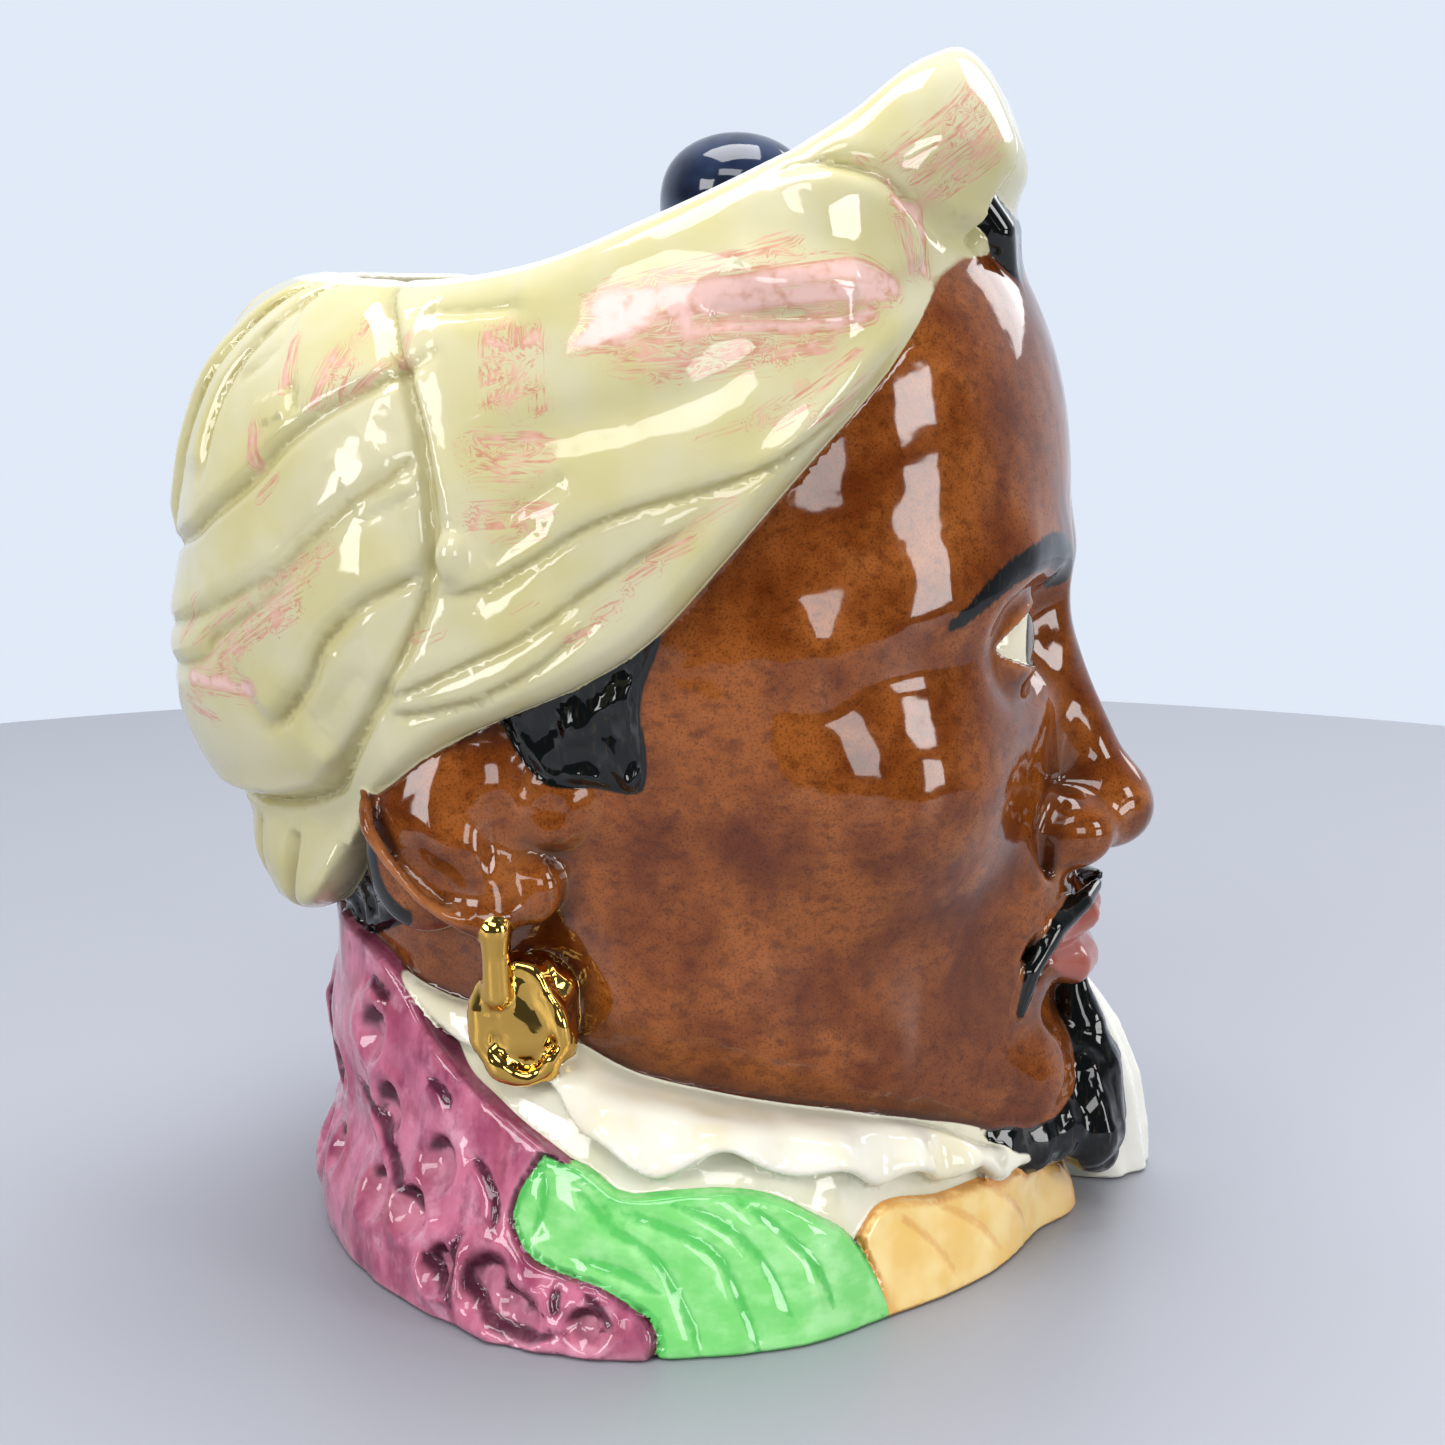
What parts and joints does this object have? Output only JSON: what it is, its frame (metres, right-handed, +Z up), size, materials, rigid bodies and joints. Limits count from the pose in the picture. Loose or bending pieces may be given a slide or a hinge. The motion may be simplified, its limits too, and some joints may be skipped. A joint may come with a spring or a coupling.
{
  "type": "character jug",
  "caption": "Hollow glazed earthenware jug moulded as a turbaned head, with a loop handle at its left side and its mouth open at the top.",
  "frame": {"origin": "middle of the box at the height of the foot", "axes": "+Z up, the figure faces -Y, the handle is on +X, its left side"},
  "size_m": [0.1775, 0.1565, 0.1839],
  "materials": {
    "glazed_ceramic": "hand-painted under a clear gloss glaze: cream turban with pink strokes, brown skin, green, orange and plum dress, gilt earring, blue-black handle"
  },
  "bodies": {
    "root": {"jug": "glazed_ceramic"}
  },
  "joints": []
}
